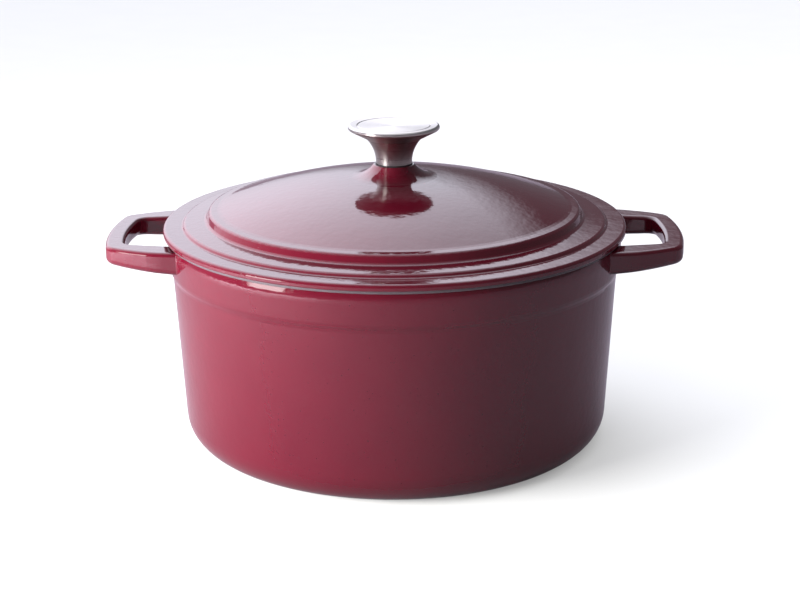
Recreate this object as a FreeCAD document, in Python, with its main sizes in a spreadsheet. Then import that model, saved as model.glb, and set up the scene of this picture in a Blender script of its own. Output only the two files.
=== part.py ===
import FreeCAD, Part
import math
import os
import re

import Sketcher
from FreeCAD import Placement, Rotation, Vector

# Round enamelled cast iron dutch oven with a domed lid and a steel knob.
# Millimetres. The origin is the middle of the flat base, +Z is up and the two loop handles
# lie along +X and -X. Every piece is drawn where it sits with the lid on the pot.

doc = FreeCAD.newDocument("dutch_oven")
sheet = doc.addObject("Spreadsheet::Sheet", "Sizes")

# Driving dimensions: alias, value or formula, what it is.
SIZES = [
    # pot
    ("pot_height", "123", "floor to the ground rim that carries the lid"),
    ("pot_radius", "121", "outer wall at the level of the base, before the corner is rounded"),
    ("wall_draft", "0.056", "growth of the wall radius for each millimetre of height"),
    ("wall_thick", "4", "casting thickness of the wall"),
    ("base_thick", "4.6", "casting thickness of the base"),
    ("base_round", "18", "outer rounding between base and wall"),
    ("ledge_low", "100.2", "bottom of the small step round the wall"),
    ("ledge_high", "103.4", "top of the small step round the wall"),
    ("ledge_step", "1.3", "how far the upper band stands out from the lower wall"),
    ("rim_radius", "129.8", "outer radius of the rim lip"),
    ("rim_lip", "1.6", "height of the upright part of the rim lip"),
    ("crown_rise", "6.5", "height over which the band rounds in under the lip"),
    ("crown_round", "19", "radius of that rounding"),
    ("floor_radius", "=pot_radius - wall_thick", "inside wall at the level of the base"),
    ("mouth_radius", "=floor_radius + wall_draft * pot_height + 0.4", "inside of the mouth"),
    ("wall_ledge_low", "=pot_radius + wall_draft * ledge_low", "wall under the step"),
    ("wall_ledge_high", "=pot_radius + wall_draft * ledge_high + ledge_step", "wall over the step"),
    ("lip_foot", "=pot_height - rim_lip", "height of the foot of the lip"),
    ("crown_foot", "=lip_foot - crown_rise", "height where the band starts to round in"),
    ("wall_crown", "=pot_radius + wall_draft * crown_foot + ledge_step", "wall at that height"),
    ("draft_length", "=sqrt(1 + wall_draft^2)", "length of the wall per millimetre of height"),
    ("crown_lean", "=crown_rise / crown_round - wall_draft / draft_length",
     "sine of the lean of the band at the lip"),
    ("shoulder_radius", "=wall_crown - crown_round * (1 / draft_length - sqrt(1 - crown_lean^2))",
     "radius of the band where it meets the lip"),
    # loop handles
    ("handle_top", "120.4", "height of the flat top of both handles"),
    ("handle_reach", "163.6", "axis to the bowed outer end of a handle"),
    ("handle_bar", "10.8", "width of the outer bar in plan"),
    ("handle_root", "125.2", "radius, inside the wall, where the handle casting begins"),
    ("handle_root_y", "50.2", "half width of the handle at the wall"),
    ("handle_waist_x", "131", "where the sides start to close in"),
    ("handle_waist_y", "48.6", "half width of the handle there"),
    ("handle_corner_y", "35.6", "half width at the unrounded outer corner"),
    ("hole_root_y", "33.6", "half width of the finger gap at the wall"),
    ("hole_corner_y", "28.6", "half width of the finger gap at its outer end"),
    ("handle_depth_root", "13.1", "thickness of the handle at the wall"),
    ("handle_depth_end", "10", "thickness of the handle at its outer end"),
    ("handle_side_bow", "95", "plan radius of the bowed sides"),
    ("handle_end_round", "10", "plan rounding of the outer corners"),
    ("handle_waist_round", "40", "plan rounding where the sides close in"),
    ("hole_round", "6.5", "plan rounding of the finger gap corners"),
    ("handle_edge_top", "2.2", "rounding of the upper edges"),
    ("handle_edge_low", "3.4", "rounding of the lower edges"),
    ("handle_blend", "0.8", "blend between handle and wall"),
    ("handle_corner_x", "=sqrt(handle_reach^2 - handle_corner_y^2)", "unrounded outer corner"),
    ("handle_root_x", "=sqrt(handle_root^2 - handle_root_y^2)", "outer corner of the root"),
    ("hole_root_x", "=sqrt(handle_root^2 - hole_root_y^2)", "inner corner of the root"),
    ("hole_reach", "=handle_reach - handle_bar", "axis to the bowed end of the finger gap"),
    ("hole_corner_x", "=sqrt(hole_reach^2 - hole_corner_y^2)", "unrounded corner of the gap"),
    # lid
    ("lid_radius", "131.3", "outer radius of the lid"),
    ("lid_edge", "3.7", "height of the upright edge of the lid"),
    ("lid_wall", "4", "casting thickness of the lid"),
    ("step_low_radius", "119.3", "crest of the lower step"),
    ("step_low_top", "128.9", "height of the lower crest"),
    ("step_low_foot", "127.1", "height of the rim terrace against the lower step"),
    ("bead_width", "5.5", "width of the flat bead inside the upper crest"),
    ("step_high_radius", "105", "crest of the upper step"),
    ("step_high_top", "135", "height of the upper crest"),
    ("step_high_foot", "130.2", "height of the middle terrace against the upper step"),
    ("step_high_foot_radius", "106.9", "radius of the middle terrace against the upper step"),
    ("dome_foot", "135.6", "height of the dome where it leaves the upper bead"),
    ("dome_top", "153.2", "height the dome would reach at the axis"),
    ("boss_top", "159.3", "height of the boss that carries the knob"),
    ("boss_radius", "11.6", "radius of the boss at its top"),
    ("boss_foot", "24.5", "radius where the boss runs out into the dome"),
    ("screw_pad", "146.8", "height of the flat under the lid where the washers bear"),
    ("screw_pad_radius", "13", "radius of that flat"),
    ("lip_radius", "122.4", "outer radius of the ring that drops into the mouth"),
    ("lip_thick", "3.6", "thickness of that ring"),
    ("lip_drop", "4", "how far that ring drops below the rim"),
    ("dome_radius", "=step_high_radius - bead_width", "radius where the dome starts"),
    ("dome_rise", "=dome_top - dome_foot", "rise of the dome"),
    ("dome_ball", "=(dome_radius^2 + dome_rise^2) / (2 * dome_rise)", "ball radius of the dome"),
    ("boss_foot_top", "=dome_top - dome_ball + sqrt(dome_ball^2 - boss_foot^2)", "dome at the boss"),
    ("boss_rise", "=boss_top - boss_foot_top", "height of the boss above its foot"),
    ("boss_run", "=boss_foot - boss_radius", "width of the flare of the boss"),
    ("boss_hollow", "=(boss_run^2 + boss_rise^2) / (2 * (boss_rise * sqrt(1 - (boss_foot / dome_ball)^2)"
     " - boss_run * boss_foot / dome_ball))", "flare radius that leaves the dome smoothly"),
    ("inner_ball", "=dome_ball - lid_wall", "ball radius under the dome"),
    ("inner_foot", "=dome_top - dome_ball + sqrt(inner_ball^2 - dome_radius^2)",
     "underside at the dome foot"),
    ("inner_pad", "=dome_top - dome_ball + sqrt(inner_ball^2 - (screw_pad_radius + 2.5)^2)",
     "underside beside the washer flat"),
    # knob and its fastening
    ("gasket_thick", "0.5", "thickness of the rubber washer under the knob"),
    ("gasket_radius", "10.5", "outer radius of the rubber washer"),
    ("neck_radius", "10.2", "radius of the knob neck at its foot"),
    ("neck_sweep", "20.3", "radius of the trumpet flare"),
    ("disc_radius", "25.8", "radius of the knob disc"),
    ("flare_radius", "15.7", "radius where the trumpet flare runs into the cone under the disc"),
    ("cone_rise", "5", "height of that cone"),
    ("disc_under", "25.2", "radius where the cone meets the disc edge"),
    ("disc_thick", "2.8", "thickness of the disc edge"),
    ("disc_dish", "1.1", "depth of the dished top"),
    ("ring_radius", "20.6", "radius of the turned ring in the top"),
    ("ring_width", "0.8", "width of the turned ring"),
    ("ring_depth", "0.35", "depth of the turned ring"),
    ("thread_radius", "3", "radius of the knob screw"),
    ("bolt_hole", "3.4", "radius of the hole through the lid"),
    ("thread_depth", "14", "depth of the threaded hole in the knob"),
    ("washer_radius", "8", "outer radius of the flat washer"),
    ("washer_thick", "1.2", "thickness of the flat washer"),
    ("spring_radius", "5.3", "outer radius of the spring washer"),
    ("spring_thick", "1.6", "thickness of the spring washer"),
    ("spring_split", "1.2", "width of the split in the spring washer"),
    ("head_radius", "5.6", "radius of the screw head"),
    ("head_height", "3.6", "height of the screw head"),
    ("head_round", "1.6", "rounding of the screw head"),
    ("slot_width", "1.4", "width of the cross recess"),
    ("slot_length", "6", "length of the cross recess"),
    ("slot_depth", "1.9", "depth of the cross recess"),
    ("neck_foot", "=boss_top + gasket_thick", "height of the foot of the knob"),
    ("flare_centre", "=neck_radius + neck_sweep", "middle of the trumpet flare, from the axis"),
    ("flare_top", "=neck_foot + 0.4 + sqrt(neck_sweep^2 - (flare_centre - flare_radius)^2)",
     "height where the flare meets the cone"),
    ("cone_top", "=flare_top + cone_rise", "height where the cone meets the disc edge"),
    ("knob_top", "=cone_top + disc_thick", "height of the knob's rim, the highest point"),
    ("dish_ball", "=((disc_radius - 1)^2 + disc_dish^2) / (2 * disc_dish)", "ball radius of the dish"),
    ("ring_inner", "=ring_radius - ring_width / 2", "inner lip of the turned ring"),
    ("ring_outer", "=ring_radius + ring_width / 2", "outer lip of the turned ring"),
    ("ring_inner_top", "=knob_top - disc_dish + dish_ball - sqrt(dish_ball^2 - ring_inner^2)",
     "dished top at the inner lip"),
    ("ring_outer_top", "=knob_top - disc_dish + dish_ball - sqrt(dish_ball^2 - ring_outer^2)",
     "dished top at the outer lip"),
    ("washer_under", "=screw_pad - washer_thick", "height under the flat washer"),
    ("spring_under", "=washer_under - spring_thick", "height under the spring washer"),
    ("head_under", "=spring_under - head_height", "height of the lowest point of the screw"),
]
for row, (alias, value, note) in enumerate(SIZES, 1):
    sheet.set(f"A{row}", note)
    sheet.set(f"B{row}", value)
    sheet.setAlias(f"B{row}", alias)
doc.recompute()
ALIASES = {alias for alias, _, _ in SIZES}


def size(alias):
    """A dimension from the sheet, as a number."""
    return float(getattr(sheet, alias))


def formula(text):
    """A formula with bare sheet names, as an expression and as its value."""
    expression = re.sub(r"[a-z]\w*", lambda m: f"Sizes.{m[0]}" if m[0] in ALIASES else m[0], text)
    value = sheet.evalExpression(expression)
    return expression, float(getattr(value, "Value", value))


def new_body(name):
    """An empty body with its name as label."""
    body = doc.addObject("PartDesign::Body", name)
    body.Label = name
    return body


def origin_plane(body, role):
    return next(f for f in body.Origin.OriginFeatures if f.Role == role)


def outline(body, name, role, corners, height=None):
    """A closed sketch. Each corner is (x, y) or (x, y, radius, side), all sheet formulas: the
    edge from it to the next corner is a straight line, or an arc of that radius whose centre
    lies to the left (side 1) or to the right (side -1) of the way to the next corner."""
    sketch = body.newObject("Sketcher::SketchObject", name)
    sketch.AttachmentSupport = [(origin_plane(body, role), "")]
    sketch.MapMode = "FlatFace"
    if height:
        sketch.setExpression("AttachmentOffset.Base.z", formula(height)[0])
    points = [Vector(formula(c[0])[1], formula(c[1])[1], 0) for c in corners]
    ends = []
    for i, corner in enumerate(corners):
        here, there = points[i], points[(i + 1) % len(points)]
        if len(corner) == 2:
            edge = sketch.addGeometry(Part.LineSegment(here, there), False)
            ends.append((edge, 1, 2))
            continue
        radius, side = formula(corner[2])[1], corner[3]
        half = (there - here) * 0.5
        across = Vector(-half.y, half.x, 0).normalize() * side
        centre = here + half + across * math.sqrt(radius**2 - half.Length**2)
        first, last = (here, there) if side > 0 else (there, here)
        angles = [math.atan2(p.y - centre.y, p.x - centre.x) for p in (first, last)]
        circle = Part.Circle(centre, Vector(0, 0, 1), radius)
        edge = sketch.addGeometry(Part.ArcOfCircle(circle, *angles), False)
        ends.append((edge, 1, 2) if side > 0 else (edge, 2, 1))
        rule = sketch.addConstraint(Sketcher.Constraint("Radius", edge, radius))
        sketch.setExpression(f"Constraints[{rule}]", formula(corner[2])[0])
    for i, (edge, start, end) in enumerate(ends):
        after = ends[(i + 1) % len(ends)]
        sketch.addConstraint(Sketcher.Constraint("Coincident", edge, end, after[0], after[1]))
        for kind, text in (("DistanceX", corners[i][0]), ("DistanceY", corners[i][1])):
            expression, value = formula(text)
            rule = sketch.addConstraint(Sketcher.Constraint(kind, -1, 1, edge, start, value))
            sketch.setExpression(f"Constraints[{rule}]", expression)
    doc.recompute()
    return sketch


def turned(body, name, corners):
    """A solid of revolution about Z from an outline in the XZ plane."""
    sketch = outline(body, name + "_profile", "XZ_Plane", corners)
    turn = body.newObject("PartDesign::Revolution", name)
    turn.Profile = sketch
    turn.ReferenceAxis = (sketch, ["V_Axis"])
    turn.Angle = 360
    doc.recompute()
    return turn


def rounded(body, name, edges, radius):
    """A fillet on the named edges of the body's tip, its radius bound to the sheet."""
    before = body.Tip
    fillet = body.newObject("PartDesign::Fillet", name)
    fillet.Base = (before, edges)
    fillet.setExpression("Radius", formula(radius)[0])
    doc.recompute()
    return fillet


def rings(shape, places):
    """Names of the circular edges about Z at the given (radius, height) places."""
    found = []
    for radius, height in ((formula(r)[1], formula(z)[1]) for r, z in places):
        for number, edge in enumerate(shape.Edges, 1):
            if edge.Degenerated or not isinstance(edge.Curve, Part.Circle) or not edge.Closed:
                continue
            curve = edge.Curve
            if abs(curve.Radius - radius) < 0.02 and abs(curve.Center.z - height) < 0.02:
                found.append(f"Edge{number}")
                break
        else:
            raise RuntimeError(f"no ring of radius {radius:.2f} at height {height:.2f}")
    return found


def picked(shape, test):
    """Names of the edges whose box passes a test."""
    return [f"Edge{n}" for n, e in enumerate(shape.Edges, 1) if test(e, e.BoundBox)]


# ---- handle: a flat cast loop, open towards the pot, drawn on the +X side ----
def make_handle(name, turn):
    body = new_body(name)
    plan = outline(body, name + "_plan", "XY_Plane", [
        ("handle_root_x", "handle_root_y"),
        ("handle_waist_x", "handle_waist_y", "handle_side_bow", -1),
        ("handle_corner_x", "handle_corner_y", "handle_reach", -1),
        ("handle_corner_x", "-handle_corner_y", "handle_side_bow", -1),
        ("handle_waist_x", "-handle_waist_y"),
        ("handle_root_x", "-handle_root_y", "handle_root", 1),
        ("hole_root_x", "-hole_root_y"),
        ("hole_corner_x", "-hole_corner_y", "hole_reach", 1),
        ("hole_corner_x", "hole_corner_y"),
        ("hole_root_x", "hole_root_y", "handle_root", 1),
    ], height="handle_top")
    pad = body.newObject("PartDesign::Pad", name + "_loop")
    pad.Profile = plan
    pad.Reversed = True
    pad.setExpression("Length", "Sizes.handle_depth_root + 4")
    doc.recompute()
    side = outline(body, name + "_side", "XZ_Plane", [
        ("handle_root_x - 5", "handle_top - handle_depth_root - 0.6"),
        ("handle_reach + 5", "handle_top - handle_depth_end + 0.5"),
        ("handle_reach + 5", "handle_top - handle_depth_root - 10"),
        ("handle_root_x - 5", "handle_top - handle_depth_root - 10"),
    ])
    under = body.newObject("PartDesign::Pocket", name + "_underside")
    under.Profile = side
    under.Midplane = True
    under.Length = 140
    doc.recompute()

    def corner(x, y):
        spot = (formula(x)[1], formula(y)[1])
        return lambda e, b: (b.XLength < 0.01 and b.YLength < 0.01
                             and math.hypot(b.XMin - spot[0], abs(b.YMin) - spot[1]) < 0.05)

    for part, place, radius in (
        ("end", ("handle_corner_x", "handle_corner_y"), "handle_end_round"),
        ("waist", ("handle_waist_x", "handle_waist_y"), "handle_waist_round"),
        ("gap", ("hole_corner_x", "hole_corner_y"), "hole_round"),
    ):
        rounded(body, f"{name}_{part}_corners", picked(body.Tip.Shape, corner(*place)), radius)

    top, root = size("handle_top"), size("handle_root")

    def at_root(edge):
        return all(abs(math.hypot(v.X, v.Y) - root) < 0.05 for v in edge.Vertexes)

    upper = picked(body.Tip.Shape, lambda e, b: b.ZMin > top - 0.01 and not at_root(e))
    rounded(body, name + "_upper_edges", upper, "handle_edge_top")
    lower = picked(body.Tip.Shape, lambda e, b: b.ZMax < top - size("handle_depth_end") + 0.9
                   and not at_root(e))
    rounded(body, name + "_lower_edges", lower, "handle_edge_low")
    body.Placement = Placement(Vector(0, 0, 0), Rotation(Vector(0, 0, 1), turn))
    return body


# ---- pot: one casting, shell and both handles ----
pot = new_body("pot")
turned(pot, "shell", [
    ("0", "0"),
    ("pot_radius", "0"),
    ("wall_ledge_low", "ledge_low"),
    ("wall_ledge_high", "ledge_high"),
    ("wall_crown", "crown_foot", "crown_round", 1),
    ("shoulder_radius", "lip_foot"),
    ("rim_radius", "lip_foot"),
    ("rim_radius", "pot_height"),
    ("mouth_radius", "pot_height"),
    ("floor_radius", "base_thick"),
    ("0", "base_thick"),
])
rounded(pot, "base_corner", rings(pot.Tip.Shape, [("pot_radius", "0")]), "base_round")
rounded(pot, "floor_corner", rings(pot.Tip.Shape, [("floor_radius", "base_thick")]),
        "base_round - 3")
rounded(pot, "ledge_soft", rings(pot.Tip.Shape, [
    ("wall_ledge_low", "ledge_low"), ("wall_ledge_high", "ledge_high")]), "4.5")
rounded(pot, "rim_soft", rings(pot.Tip.Shape, [
    ("rim_radius", "lip_foot"), ("rim_radius", "pot_height"), ("mouth_radius", "pot_height"),
]), "0.5")
handles = [make_handle("handle_right", 0), make_handle("handle_left", 180)]
join = pot.newObject("PartDesign::Boolean", "handles_cast_on")
join.Type = "Fuse"
join.setObjects(handles)
pot.Tip = join
doc.recompute()

def on_wall(edge, box):
    """True for an edge where a handle meets the straight part of the band."""
    if box.ZMin < size("ledge_high") or box.ZMax > size("crown_foot") + 0.1 or box.XLength > 60:
        return False
    first, last = edge.ParameterRange
    spots = [edge.valueAt(first + (last - first) * k / 4) for k in range(5)]
    if all(abs(p.y) < 0.01 for p in spots) or box.ZMin > size("crown_foot") - 0.1:
        return False
    slope, foot = size("wall_draft"), size("pot_radius") + size("ledge_step")
    return all(abs(math.hypot(p.x, p.y) - foot - slope * p.z) < 0.03 for p in spots)


rounded(pot, "handle_blends", picked(pot.Tip.Shape, on_wall), "handle_blend")

# ---- lid: one casting, stepped rim, dome, boss for the knob and the ring that centres it ----
lid = new_body("lid")
turned(lid, "lid_casting", [
    ("bolt_hole", "screw_pad"),
    ("screw_pad_radius", "screw_pad"),
    ("screw_pad_radius + 2.5", "inner_pad", "inner_ball", -1),
    ("dome_radius", "inner_foot"),
    ("step_high_foot_radius - 3.4", "step_high_foot - lid_wall"),
    ("lip_radius - lip_thick - 1", "step_high_foot - lid_wall - 2"),
    ("lip_radius - lip_thick", "pot_height - lip_drop"),
    ("lip_radius - 0.4", "pot_height - lip_drop"),
    ("lip_radius", "pot_height"),
    ("lid_radius", "pot_height"),
    ("lid_radius", "pot_height + lid_edge"),
    ("step_low_radius + 1.2", "step_low_foot"),
    ("step_low_radius", "step_low_top"),
    ("step_high_foot_radius", "step_high_foot"),
    ("step_high_radius", "step_high_top"),
    ("dome_radius", "dome_foot", "dome_ball", 1),
    ("boss_foot", "boss_foot_top", "boss_hollow", -1),
    ("boss_radius", "boss_top"),
    ("bolt_hole", "boss_top"),
])
for name, radius, places in (
    ("edge_top", "1.7", [("lid_radius", "pot_height + lid_edge")]),
    ("edge_low", "0.8", [("lid_radius", "pot_height")]),
    ("low_crest", "1.6", [("step_low_radius", "step_low_top")]),
    ("low_foot", "0.9", [("step_low_radius + 1.2", "step_low_foot")]),
    ("high_step", "1.9", [("step_high_radius", "step_high_top"),
                          ("step_high_foot_radius", "step_high_foot")]),
    ("high_bead", "9", [("dome_radius", "dome_foot")]),
    ("boss_edge", "0.6", [("boss_radius", "boss_top")]),
    ("inside", "2.5", [("dome_radius", "inner_foot"),
                       ("step_high_foot_radius - 3.4", "step_high_foot - lid_wall"),
                       ("lip_radius - lip_thick - 1", "step_high_foot - lid_wall - 2")]),
    ("ring_edges", "1", [("lip_radius - lip_thick", "pot_height - lip_drop"),
                         ("lip_radius - 0.4", "pot_height - lip_drop")]),
):
    rounded(lid, "lid_" + name, rings(lid.Tip.Shape, places), radius)

# ---- knob: turned steel, with a blind threaded hole in its foot ----
knob = new_body("knob")
turned(knob, "knob_turning", [
    ("0", "neck_foot + thread_depth"),
    ("thread_radius + 0.05", "neck_foot + thread_depth"),
    ("thread_radius + 0.05", "neck_foot"),
    ("neck_radius", "neck_foot"),
    ("neck_radius", "neck_foot + 0.4", "neck_sweep", -1),
    ("flare_radius", "flare_top"),
    ("disc_under", "cone_top"),
    ("disc_radius", "cone_top + 0.6"),
    ("disc_radius", "knob_top - 0.9"),
    ("disc_radius - 1", "knob_top", "dish_ball", -1),
    ("ring_outer", "ring_outer_top"),
    ("ring_radius", "ring_inner_top - ring_depth"),
    ("ring_inner", "ring_inner_top", "dish_ball", -1),
    ("0", "knob_top - disc_dish"),
])
for name, radius, places in (
    ("flare_blend", "4", [("flare_radius", "flare_top")]),
    ("under_edge", "0.5", [("disc_under", "cone_top"), ("disc_radius", "cone_top + 0.6")]),
    ("top_edge", "0.7", [("disc_radius", "knob_top - 0.9"), ("disc_radius - 1", "knob_top")]),
    ("foot_edge", "0.3", [("neck_radius", "neck_foot")]),
):
    rounded(knob, "knob_" + name, rings(knob.Tip.Shape, places), radius)


def washer(name, inner, outer, low, high):
    body = new_body(name)
    turned(body, name + "_ring", [(inner, low), (outer, low), (outer, high), (inner, high)])
    return body


gasket = washer("knob_gasket", "bolt_hole", "gasket_radius", "boss_top", "neck_foot")
flat_washer = washer("flat_washer", "bolt_hole", "washer_radius", "washer_under", "screw_pad")
rounded(flat_washer, "flat_washer_edges",
        rings(flat_washer.Tip.Shape, [("washer_radius", "washer_under")]), "0.3")
spring_washer = washer("spring_washer", "bolt_hole - 0.1", "spring_radius", "spring_under",
                       "washer_under")
split = outline(spring_washer, "split_plan", "XY_Plane", [
    ("0", "-spring_split / 2"), ("spring_radius + 2", "-spring_split / 2"),
    ("spring_radius + 2", "spring_split / 2"), ("0", "spring_split / 2"),
], height="washer_under")
cut = spring_washer.newObject("PartDesign::Pocket", "split")
cut.Profile = split
cut.setExpression("Length", "Sizes.spring_thick + 1")
doc.recompute()

# ---- screw: pan head under the lid, shank up through lid and gasket into the knob ----
screw = new_body("knob_screw")
turned(screw, "screw_turning", [
    ("0", "head_under"),
    ("head_radius - 0.8", "head_under"),
    ("head_radius", "spring_under"),
    ("thread_radius", "spring_under"),
    ("thread_radius", "neck_foot + thread_depth - 1.5"),
    ("0", "neck_foot + thread_depth - 1.5"),
])
rounded(screw, "screw_head_round",
        rings(screw.Tip.Shape, [("head_radius - 0.8", "head_under")]), "head_round")
rounded(screw, "screw_point",
        rings(screw.Tip.Shape, [("thread_radius", "neck_foot + thread_depth - 1.5")]), "0.5")
arm, half = "slot_length / 2", "slot_width / 2"
cross = outline(screw, "cross_plan", "XY_Plane", [
    (arm, "-" + half), (arm, half), (half, half), (half, arm), ("-" + half, arm), ("-" + half, half),
    ("-" + arm, half), ("-" + arm, "-" + half), ("-" + half, "-" + half), ("-" + half, "-" + arm),
    (half, "-" + arm), (half, "-" + half),
], height="head_under")
recess = screw.newObject("PartDesign::Pocket", "cross_recess")
recess.Profile = cross
recess.Reversed = True
recess.setExpression("Length", "Sizes.slot_depth")
doc.recompute()

# ---- export ----
PIECES = [pot, lid, knob, gasket, flat_washer, spring_washer, screw]
doc.recompute()
bad = [o.Label for o in doc.Objects if {"Invalid", "Error"} & set(o.State)]
if bad:
    raise RuntimeError(f"features that failed: {bad}")
os.makedirs("parts", exist_ok=True)
for piece in PIECES:
    shape = piece.Shape
    if shape.isNull() or not shape.isValid() or len(shape.Solids) != 1:
        raise RuntimeError(f"{piece.Label} is not one sound solid")
    box = shape.optimalBoundingBox()
    print(f"{piece.Label:14s} x {box.XMin:8.2f} {box.XMax:8.2f}  y {box.YMin:8.2f} {box.YMax:8.2f}"
          f"  z {box.ZMin:7.2f} {box.ZMax:7.2f}  {shape.Volume / 1000:8.2f} cm3")
    shape.exportStep(f"parts/{piece.Label}.step")
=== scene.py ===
import math

import bpy
from mathutils import Matrix, Vector


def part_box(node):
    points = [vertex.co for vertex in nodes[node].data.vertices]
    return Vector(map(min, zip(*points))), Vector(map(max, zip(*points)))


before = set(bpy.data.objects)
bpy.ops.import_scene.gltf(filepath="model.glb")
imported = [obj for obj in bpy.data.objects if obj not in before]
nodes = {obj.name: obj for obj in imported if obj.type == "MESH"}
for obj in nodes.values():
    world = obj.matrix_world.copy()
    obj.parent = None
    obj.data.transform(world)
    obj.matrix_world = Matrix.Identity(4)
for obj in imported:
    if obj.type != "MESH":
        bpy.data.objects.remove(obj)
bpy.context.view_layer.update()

# Round enamelled cast iron dutch oven with a steel knob.
# Metres; +Z is up and the loop handles lie along X.

MM = 0.001
scene = bpy.context.scene

RIM_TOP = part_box("pot")[1].z                 # ground rim that carries the lid
LIP_FOOT = RIM_TOP - 1.75 * MM               # foot of the upright lip of the pot
MOUTH = 124.6 * MM                           # just outside the inner wall at the mouth
RING_INNER = 118.4 * MM                      # inside of the ring that centres the lid
COAT_EDGE = 0.3 * MM                         # width over which one coat gives way to another

# Inputs of a Mix node, by number because several of them share a name.
SHARE, FIRST_VALUE, SECOND_VALUE, FIRST_COLOUR, SECOND_COLOUR = 0, 2, 3, 6, 7


# ---- materials ----
def linear(colour, strength=1.0):
    """An sRGB hex colour as linear red, green, blue and alpha."""
    parts = [int(colour[i:i + 2], 16) / 255 for i in (1, 3, 5)]
    parts = [c / 12.92 if c <= 0.04045 else ((c + 0.055) / 1.055) ** 2.4 for c in parts]
    return (*[c * strength for c in parts], 1.0)


def add(tree, kind, inputs=None, **settings):
    """A node with its settings. Each input, by name or number, is set to a value, or linked to
    an output or to the output that a node is set to use."""
    made = tree.nodes.new("ShaderNode" + kind)
    for name, value in settings.items():
        setattr(made, name, value)
    for name, value in (inputs or {}).items():
        if isinstance(value, bpy.types.Node):
            value = next(output for output in value.outputs if output.enabled)
        if isinstance(value, bpy.types.NodeSocket):
            tree.links.new(value, made.inputs[name])
        else:
            made.inputs[name].default_value = value
    return made


def per_metre(size_mm):
    """Texture scale whose pattern repeats about every size_mm."""
    return 1 / (size_mm * MM)


def past(value, edge, width):
    """Map Range inputs that go from 0 to 1 as value passes edge, over a width."""
    return {"Value": value, "From Min": edge - width / 2, "From Max": edge + width / 2}


def start_material(name):
    """An empty material, its node tree and its texture coordinates."""
    made = bpy.data.materials.new(name)
    made.use_nodes = True
    made.node_tree.nodes.clear()
    return made, made.node_tree, add(made.node_tree, "TexCoord")


def finish_material(tree, inputs):
    """The shader with its inputs, joined to the material's surface."""
    add(tree, "OutputMaterial", {"Surface": add(tree, "BsdfPrincipled", inputs)})


def round_the_axis(tree, place):
    """Distance from the axis and height of a point."""
    flat = add(tree, "VectorMath", {0: place, 1: (1, 1, 0)}, operation="MULTIPLY")
    radius = add(tree, "VectorMath", {0: flat}, operation="LENGTH")
    return radius, add(tree, "SeparateXYZ", {0: place}).outputs["Z"]


def within(tree, radius, limit, width):
    """A mask of what lies nearer to the axis than limit."""
    nearness = add(tree, "Math", {0: radius, 1: -1.0}, operation="MULTIPLY")
    return add(tree, "MapRange", past(nearness, -limit, width))


def pot_inside(tree, coords, radius):
    """Surfaces of the pot that look at the axis or up, within the mouth."""
    normal = coords.outputs["Normal"]
    inward = add(tree, "VectorMath", {0: coords.outputs["Object"], 1: (-1, -1, 0)},
                 operation="MULTIPLY")
    inward = add(tree, "VectorMath", {0: inward}, operation="NORMALIZE")
    to_axis = add(tree, "VectorMath", {0: normal, 1: inward}, operation="DOT_PRODUCT")
    up = add(tree, "SeparateXYZ", {0: normal}).outputs["Z"]
    facing = add(tree, "Math", {0: to_axis, 1: up}, operation="ADD")
    return add(tree, "Math", {0: add(tree, "MapRange", past(facing, 0.0, 0.05)),
                              1: within(tree, radius, MOUTH, 0.4 * MM)}, operation="MULTIPLY")


def lid_inside(tree, coords, radius):
    """Underside of the lid within the ring that centres it."""
    up = add(tree, "SeparateXYZ", {0: coords.outputs["Normal"]}).outputs["Z"]
    down = add(tree, "Math", {0: up, 1: -1.0}, operation="MULTIPLY")
    return add(tree, "Math", {0: add(tree, "MapRange", past(down, 0.0, 0.1)),
                              1: within(tree, radius, RING_INNER + 0.6 * MM, 0.6 * MM)},
               operation="MULTIPLY")


def pot_bare(tree, radius, height):
    """The ground rim and its lip, where the enamel stops at the dark ground coat."""
    return add(tree, "Math", {0: add(tree, "MapRange", past(height, LIP_FOOT, COAT_EDGE)),
                              1: add(tree, "MapRange", past(radius, MOUTH, COAT_EDGE))},
               operation="MULTIPLY")


def lid_bare(tree, radius, height):
    """The face that rests on the pot and the ring that drops into it."""
    low = add(tree, "Math", {0: height, 1: -1.0}, operation="MULTIPLY")
    low = add(tree, "MapRange", past(low, -RIM_TOP - 0.3 * MM, COAT_EDGE))
    return add(tree, "Math", {0: low,
                              1: add(tree, "MapRange", past(radius, RING_INNER, COAT_EDGE))},
               operation="MULTIPLY")


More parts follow.
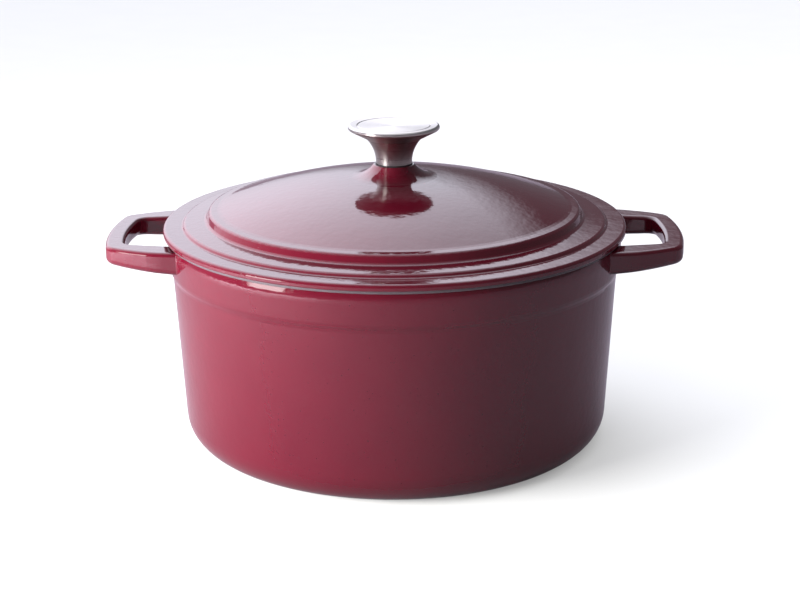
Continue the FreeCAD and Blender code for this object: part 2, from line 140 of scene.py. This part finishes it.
def fired_enamel(name, inside_mask, bare_mask):
    """Vitreous enamel, sprayed on cast iron and fired. The glass levels itself while it melts,
    which leaves a slow orange-peel ripple of a few millimetres and a few fine pits. Outside it
    is burgundy and inside cream, and the dark ground coat is left bare where lid meets pot."""
    made, tree, coords = start_material(name)
    place = coords.outputs["Object"]
    radius, height = round_the_axis(tree, place)
    inside = inside_mask(tree, coords, radius)
    bare = bare_mask(tree, radius, height)
    cloud = add(tree, "TexNoise", {"Vector": place, "Scale": per_metre(35), "Detail": 3})
    speckle = add(tree, "TexNoise", {"Vector": place, "Scale": per_metre(1.6), "Detail": 3,
                                     "Roughness": 0.6})
    colours = []
    for dark, pale, pit, pit_edge, pit_width in (
            ("#380410", "#3F0612", "#28040A", 0.72, 0.1),
            ("#D9CDB6", "#E4DAC6", "#A99E8B", 0.74, 0.05)):
        glass = add(tree, "Mix", {SHARE: cloud, FIRST_COLOUR: linear(dark),
                                  SECOND_COLOUR: linear(pale)}, data_type="RGBA")
        pits = add(tree, "MapRange", past(speckle, pit_edge, pit_width))
        colours.append(add(tree, "Mix", {SHARE: pits, FIRST_COLOUR: glass,
                                         SECOND_COLOUR: linear(pit)}, data_type="RGBA"))
    burgundy, cream = colours
    ground = add(tree, "Mix", {SHARE: speckle, FIRST_COLOUR: linear("#302A2D"),
                               SECOND_COLOUR: linear("#443D40")}, data_type="RGBA")
    colour = add(tree, "Mix", {SHARE: inside, FIRST_COLOUR: burgundy, SECOND_COLOUR: cream},
                 data_type="RGBA")
    colour = add(tree, "Mix", {SHARE: bare, FIRST_COLOUR: colour, SECOND_COLOUR: ground},
                 data_type="RGBA")
    glassy = add(tree, "MapRange", {"Value": cloud, "To Min": 0.07, "To Max": 0.11})
    rough = add(tree, "Mix", {SHARE: bare, FIRST_VALUE: glassy, SECOND_VALUE: 0.42})
    ripple = None
    for length_mm, depth_mm in ((14, 0.12), (3.4, 0.075)):
        wave = add(tree, "TexNoise", {"Vector": place, "Scale": per_metre(length_mm),
                                      "Detail": 1})
        under = {"Normal": ripple} if ripple else {}
        ripple = add(tree, "Bump", {"Strength": 1.0, "Distance": depth_mm * MM,
                                    "Height": wave, **under})
    finish_material(tree, {"Base Color": colour, "Roughness": rough, "Normal": ripple,
                           "IOR": 1.5})
    return made


def turned_steel(name, colour, grain_mm, depth_mm, rough, brushing):
    """Stainless steel turned on a lathe and brushed as it spins: fine rings round the axis
    that stretch each highlight across them."""
    made, tree, coords = start_material(name)
    radius, height = round_the_axis(tree, coords.outputs["Object"])
    profile = add(tree, "CombineXYZ", {"X": radius, "Y": height})
    grain = add(tree, "TexNoise", {"Vector": profile, "Scale": per_metre(grain_mm),
                                   "Detail": 3, "Roughness": 0.6})
    broad = add(tree, "TexNoise", {"Vector": profile, "Scale": per_metre(grain_mm * 6)})
    finish_material(tree, {
        "Base Color": add(tree, "Mix", {SHARE: broad, FIRST_COLOUR: linear(colour, 0.9),
                                        SECOND_COLOUR: linear(colour)}, data_type="RGBA"),
        "Roughness": add(tree, "MapRange", {"Value": grain, "To Min": rough - 0.05,
                                            "To Max": rough + 0.07}),
        "Normal": add(tree, "Bump", {"Strength": 1.0, "Distance": depth_mm * MM,
                                     "Height": grain}),
        "Tangent": add(tree, "Tangent", direction_type="RADIAL", axis="Z"),
        "Metallic": 1.0, "Anisotropic": brushing,
        "Anisotropic Rotation": 0.25})       # a quarter turn, so that highlights cross the rings
    return made


def moulded_rubber(name):
    """Heat-proof silicone rubber from a mould: black, with a soft low sheen."""
    made, tree, coords = start_material(name)
    dust = add(tree, "TexNoise", {"Vector": coords.outputs["Object"], "Scale": per_metre(0.8),
                                  "Detail": 3})
    finish_material(tree, {
        "Base Color": add(tree, "Mix", {SHARE: dust, FIRST_COLOUR: linear("#141314"),
                                        SECOND_COLOUR: linear("#242224")}, data_type="RGBA"),
        "Normal": add(tree, "Bump", {"Strength": 1.0, "Distance": 0.02 * MM, "Height": dust}),
        "Roughness": 0.6, "IOR": 1.41})
    return made


FINISHES = {
    "pot": fired_enamel("fired_burgundy_enamel_pot", pot_inside, pot_bare),
    "lid": fired_enamel("fired_burgundy_enamel_lid", lid_inside, lid_bare),
    "knob": turned_steel("turned_stainless_steel", "#B9B4AF", grain_mm=0.7,
                         depth_mm=0.004, rough=0.28, brushing=0.8),
    "knob_gasket": moulded_rubber("moulded_silicone_rubber"),
    "flat_washer": turned_steel("stamped_stainless_steel", "#B9B7B5", grain_mm=1.0,
                                depth_mm=0.006, rough=0.34, brushing=0.2),
    "spring_washer": turned_steel("rolled_spring_steel", "#8D8B8C", grain_mm=0.6,
                                  depth_mm=0.01, rough=0.42, brushing=0.2),
    "knob_screw": turned_steel("headed_stainless_steel", "#B4B2B1", grain_mm=0.5,
                               depth_mm=0.008, rough=0.32, brushing=0.3),
}
for name, finish in FINISHES.items():
    for slot in nodes[name].material_slots:
        slot.material = finish


# ---- studio ----
def bearing_vector(bearing, lift):
    """A unit vector towards a bearing (0 towards the front, 90 to the right) and a height
    angle, both in degrees."""
    turn, rise = math.radians(bearing), math.radians(lift)
    return Vector((math.sin(turn) * math.cos(rise), -math.cos(turn) * math.cos(rise),
                   math.sin(rise)))


def soft_box(name, bearing, lift, away, size, brightness, mirrored):
    """A light box that faces the pot. Brightness is what its face shows, 1 being paper white,
    and a box that isn't mirrored lights the glaze with no image of itself in it."""
    way = bearing_vector(bearing, lift)
    light = bpy.data.lights.new(name, "AREA")
    light.shape = "RECTANGLE"
    light.size, light.size_y = size
    light.energy = brightness * math.pi * size[0] * size[1]
    lamp = bpy.data.objects.new(name, light)
    lamp.location = Vector((0, 0, 0.1)) + way * away
    lamp.rotation_euler = (-way).to_track_quat("-Z", "Y").to_euler()
    lamp.visible_camera = False
    lamp.visible_glossy = mirrored
    scene.collection.objects.link(lamp)


def sheet_of_paper(name, height, pale, dark, glow):
    """A wide level sheet under the pot: matt paper, with a slow mottle between two greys."""
    reach = 6.0
    mesh = bpy.data.meshes.new(name)
    mesh.from_pydata([(-reach, -reach, height), (reach, -reach, height),
                      (reach, reach, height), (-reach, reach, height)], [], [(0, 1, 2, 3)])
    sheet = bpy.data.objects.new(name, mesh)
    scene.collection.objects.link(sheet)
    paper, tree, coords = start_material(name)
    mottle = add(tree, "TexNoise", {"Vector": coords.outputs["Object"],
                                    "Scale": per_metre(60)})
    finish_material(tree, {
        "Base Color": add(tree, "Mix", {SHARE: mottle, FIRST_COLOUR: linear(dark),
                                        SECOND_COLOUR: linear(pale)}, data_type="RGBA"),
        "Roughness": 0.9, "Specular IOR Level": 0.0,
        "Emission Color": linear("#FFFFFF"), "Emission Strength": glow})
    mesh.materials.append(paper)
    return sheet


# The white sheet is what the eye sees; the grey one just under it is what the glaze mirrors.
white = sheet_of_paper("matt_white_paper", 0.0, "#B4B4B2", "#B0B0AE", 0.29)
white.visible_glossy = white.visible_diffuse = white.visible_shadow = False
grey = sheet_of_paper("matt_grey_paper", -0.2 * MM, "#8E868D", "#888087", 0.0)
grey.visible_camera = False

# A light tent: its cloth is brightest above the back left and falls away smoothly. It stops
# along a slanting edge behind the pot, and the wall to the right of that is dim. The eye sees
# a plain pale backdrop instead of it.
GLOW, DIM, FALL = 5.5, 0.24, 3.1             # brightest cloth, dim wall, how fast it falls
BRIGHTEST, CLOTH_SIDE = bearing_vector(212, 46), bearing_vector(270, 32)
world = bpy.data.worlds.new("light_tent")
scene.world = world
world.use_nodes = True
tree = world.node_tree
tree.nodes.clear()
looking = add(tree, "TexCoord").outputs["Generated"]
to_glow, to_cloth = [add(tree, "VectorMath", {0: looking, 1: way}, operation="DOT_PRODUCT")
                     for way in (BRIGHTEST, CLOTH_SIDE)]
to_glow = add(tree, "Math", {0: to_glow, 1: 0.0}, operation="MAXIMUM")
lobe = add(tree, "Math", {0: to_glow, 1: FALL}, operation="POWER")
cloth = add(tree, "MapRange", past(to_cloth, 0.075, 0.13))
lobe = add(tree, "Math", {0: lobe, 1: cloth}, operation="MULTIPLY")
brightness = add(tree, "Math", {0: lobe, 1: GLOW, 2: DIM}, operation="MULTIPLY_ADD")
tent = add(tree, "Background", {"Color": linear("#DFE1EE"), "Strength": brightness})
backdrop = add(tree, "Background", {"Color": linear("#F4F4F6"), "Strength": 1.0})
seen = add(tree, "LightPath").outputs["Is Camera Ray"]
add(tree, "OutputWorld", {"Surface": add(tree, "MixShader", {0: seen, 1: tent, 2: backdrop})})

soft_box("left_key_box", 296, 5, away=0.75, size=(0.7, 0.24), brightness=78.0, mirrored=False)
soft_box("left_glint_box", 302, 6, away=0.75, size=(0.26, 0.2), brightness=12.0, mirrored=True)
soft_box("front_fill_box", 45, 58, away=2.5, size=(2.6, 2.0), brightness=2.4, mirrored=False)

# ---- camera ----
AWAY, EYE_HEIGHT = 1.0, 0.388
SIDE, PITCH, ROLL = math.radians(1.25), math.radians(17.2), math.radians(0.43)
lens = bpy.data.cameras.new("camera")
lens.lens, lens.sensor_width = 81.4, 36.0
lens.shift_x = 0.0061
lens.clip_start, lens.clip_end = 0.05, 50
camera = bpy.data.objects.new("camera", lens)
camera.matrix_world = (
    Matrix.Rotation(SIDE, 4, "Z") @ Matrix.Translation((0, -AWAY, EYE_HEIGHT))
    @ Matrix.Rotation(math.pi / 2 - PITCH, 4, "X") @ Matrix.Rotation(-ROLL, 4, "Z"))
scene.collection.objects.link(camera)
scene.camera = camera
scene.view_settings.view_transform = "Standard"
